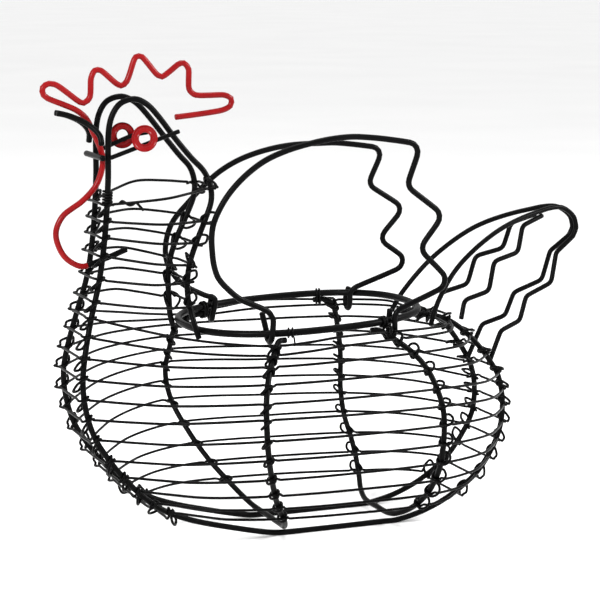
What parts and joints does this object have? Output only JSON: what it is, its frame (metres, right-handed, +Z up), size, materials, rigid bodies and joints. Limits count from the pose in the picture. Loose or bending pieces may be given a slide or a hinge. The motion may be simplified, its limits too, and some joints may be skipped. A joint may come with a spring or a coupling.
{
  "type": "wire produce basket",
  "caption": "Hen-shaped wire basket of bent black wire with thin woven hoops, two folding wing handles, a looped wire tail, and a red comb, wattle and eyes.",
  "frame": {"origin": "centre of the bounding box in plan, on the floor the basket stands on", "axes": "+X from the head to the tip of the tail, +Y to the hen's right side, +Z up"},
  "size_m": [0.2812, 0.1512, 0.233],
  "materials": {
    "black_wire": "satin black coating on steel wire",
    "black_weave_wire": "satin black coating on thin steel wire",
    "red_painted_wire": "glossy red paint on steel wire and washers"
  },
  "bodies": {
    "basket": {"rim_ring": "black_wire", "frame_wire_left": "black_wire", "frame_wire_right": "black_wire", "front_rib": "black_wire", "rear_rib": "black_wire", "eye_bar_left": "black_wire", "eye_bar_right": "black_wire", "head_cross_bar": "black_wire", "beak_wire_left": "black_wire", "beak_wire_right": "black_wire", "tail_arch_left": "black_wire", "tail_arch_right": "black_wire", "tail_squiggle_left": "black_wire", "tail_squiggle_right": "black_wire", "body_hoop_01": "black_weave_wire", "body_hoop_02": "black_weave_wire", "body_hoop_03": "black_weave_wire", "body_hoop_04": "black_weave_wire", "body_hoop_05": "black_weave_wire", "body_hoop_06": "black_weave_wire", "body_hoop_07": "black_weave_wire", "body_hoop_08": "black_weave_wire", "body_hoop_09": "black_weave_wire", "body_hoop_10": "black_weave_wire", "body_hoop_11": "black_weave_wire", "body_hoop_12": "black_weave_wire", "neck_hoop_01": "black_weave_wire", "neck_hoop_02": "black_weave_wire", "neck_hoop_03": "black_weave_wire", "neck_hoop_04": "black_weave_wire", "neck_hoop_05": "black_weave_wire", "neck_hoop_06": "black_weave_wire", "rim_binding_front_left": "black_weave_wire", "rim_binding_front_right": "black_weave_wire", "rim_binding_rear_left": "black_weave_wire", "rim_binding_rear_right": "black_weave_wire", "comb_wattle_wire": "red_painted_wire", "eye_washer_left": "red_painted_wire", "eye_washer_right": "red_painted_wire"},
    "left_wing": {"wing_handle_left": "black_wire"},
    "right_wing": {"wing_handle_right": "black_wire"}
  },
  "joints": [
    {"name": "left_wing_hinge", "type": "hinge", "parent": "basket", "child": "left_wing", "pos_m": [-0.0139, -0.04318, 0.10598], "axis": [0.9991, -0.0064, 0.042], "range_deg": [-25, 60]},
    {"name": "right_wing_hinge", "type": "hinge", "parent": "basket", "child": "right_wing", "pos_m": [-0.0067, 0.04027, 0.10628], "axis": [-0.9941, 0.1005, -0.0417], "range_deg": [0, 95]}
  ]
}
